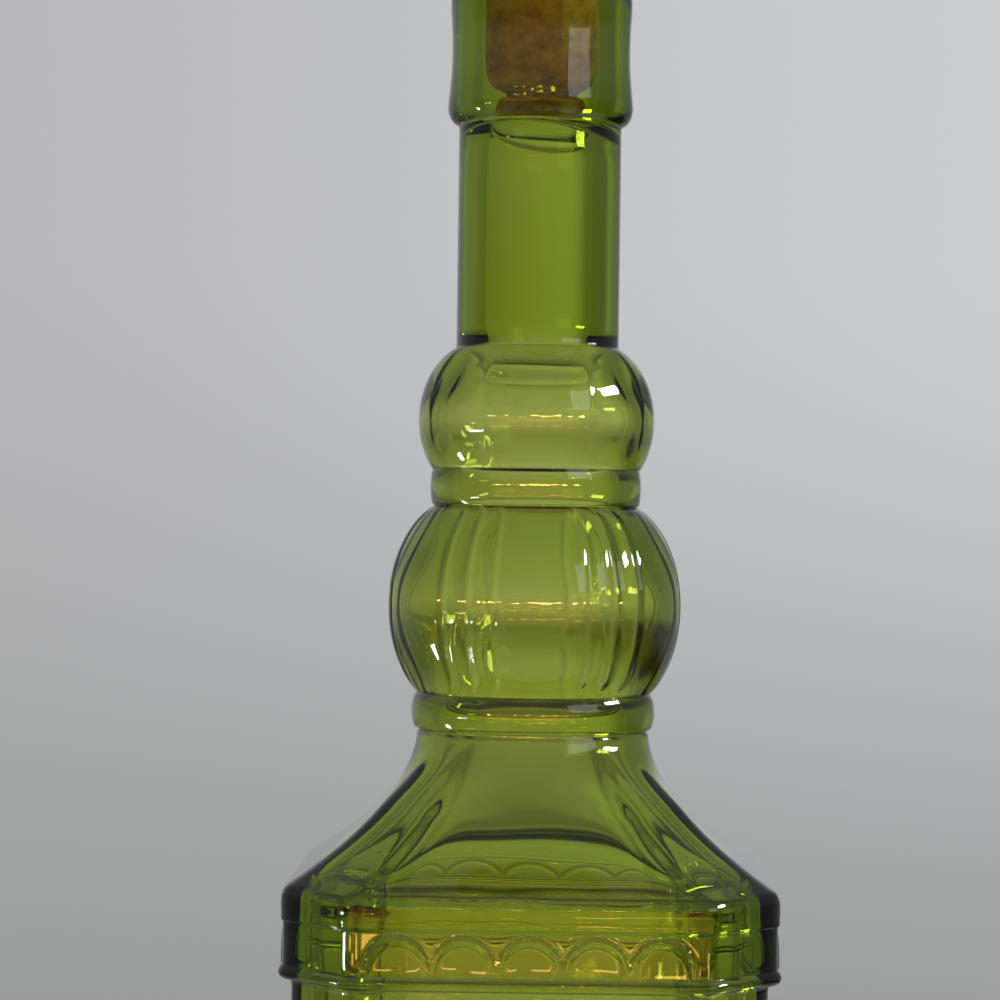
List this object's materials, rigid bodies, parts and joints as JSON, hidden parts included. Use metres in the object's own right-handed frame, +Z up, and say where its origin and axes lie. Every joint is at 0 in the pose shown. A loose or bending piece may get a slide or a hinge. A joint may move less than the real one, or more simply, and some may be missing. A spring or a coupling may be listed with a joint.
{
  "type": "corked glass bottle",
  "caption": "Tall green glass bottle, empty, with a square body, flared shoulder, two bulbs on the neck and a cork in its mouth.",
  "frame": {"origin": "middle of the base's underside, on the surface that the bottle stands on", "axes": "+Z up along the bottle; the front flat side faces -Y and +X is to its right"},
  "size_m": [0.0764, 0.0764, 0.283],
  "materials": {
    "green_glass": "clear, glossy",
    "cork": "matt, speckled"
  },
  "bodies": {
    "root": {"bottle": "green_glass", "cork": "cork"}
  },
  "joints": []
}
